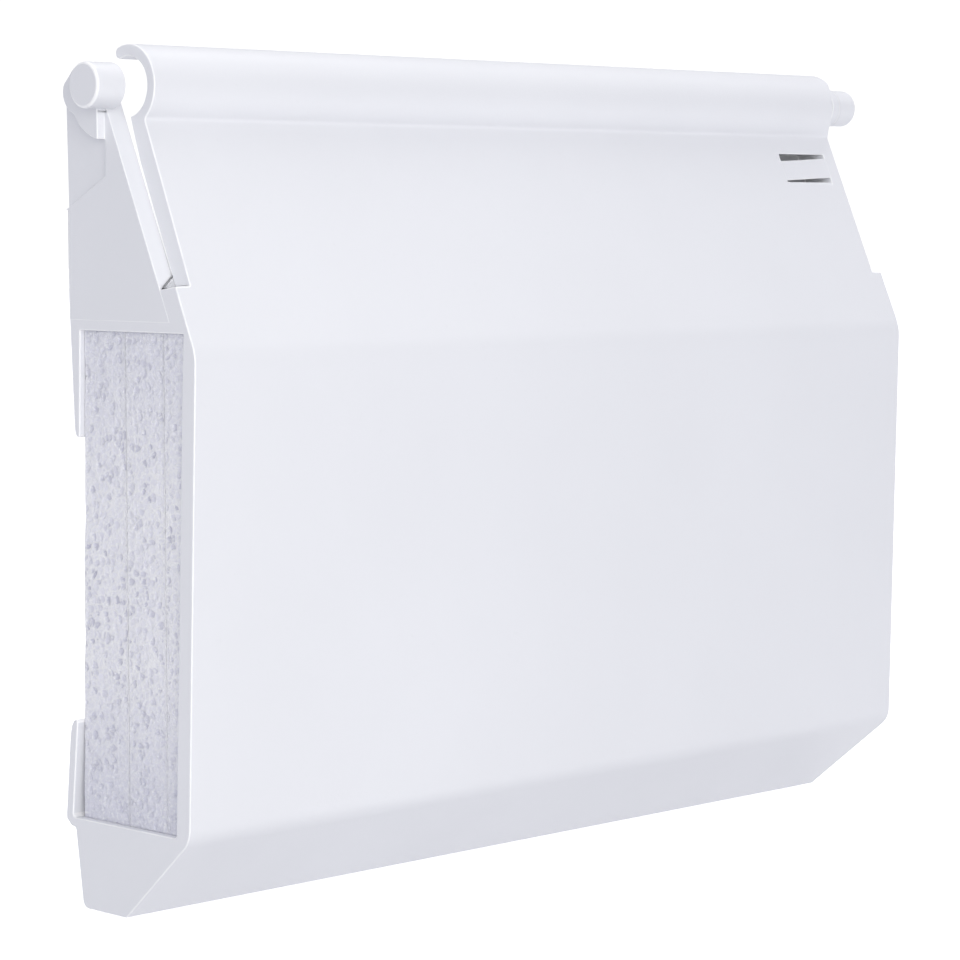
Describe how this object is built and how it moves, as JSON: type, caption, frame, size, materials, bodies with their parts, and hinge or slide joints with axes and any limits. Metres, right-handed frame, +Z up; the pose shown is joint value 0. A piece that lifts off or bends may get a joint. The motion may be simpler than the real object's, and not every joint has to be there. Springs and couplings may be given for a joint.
{
  "type": "skimmer weir flap",
  "caption": "White moulded pool-skimmer weir flap with a bonded foam float, a squeeze-in spring arm and hinge pins at its top corners.",
  "frame": {"origin": "on the hinge axis of the two pins, midway between the ends of the flap", "axes": "+X along the hinge axis to the right of someone facing the front, +Y to the rear, +Z up with the flap hanging shut"},
  "size_m": [0.2145, 0.0375, 0.1583],
  "materials": {
    "shell_plastic": "satin moulded white plastic",
    "arm_plastic": "satin moulded white plastic",
    "carrier_plastic": "satin moulded white plastic",
    "float_foam": "cut closed-cell polyethylene foam"
  },
  "bodies": {
    "flap": {"flap_shell": "shell_plastic", "right_pin_carrier": "carrier_plastic", "foam_slab_rear": "float_foam", "foam_slab_middle": "float_foam", "foam_slab_front": "float_foam"},
    "left_arm": {"left_spring_arm": "arm_plastic"},
    "latch": {"latch_tongue": "carrier_plastic"}
  },
  "joints": [
    {"name": "left_arm_flex", "type": "hinge", "parent": "flap", "child": "left_arm", "pos_m": [-0.09805, 0, -0.0357], "axis": [0, 1, 0], "range_deg": [0, 9], "stiffness_Nm_per_rad": 1.5},
    {"name": "latch_flex", "type": "hinge", "parent": "flap", "child": "latch", "pos_m": [0.0932, -0.00618, -0.01284], "axis": [0, 0, -1], "range_deg": [0, 6], "stiffness_Nm_per_rad": 0.1}
  ]
}
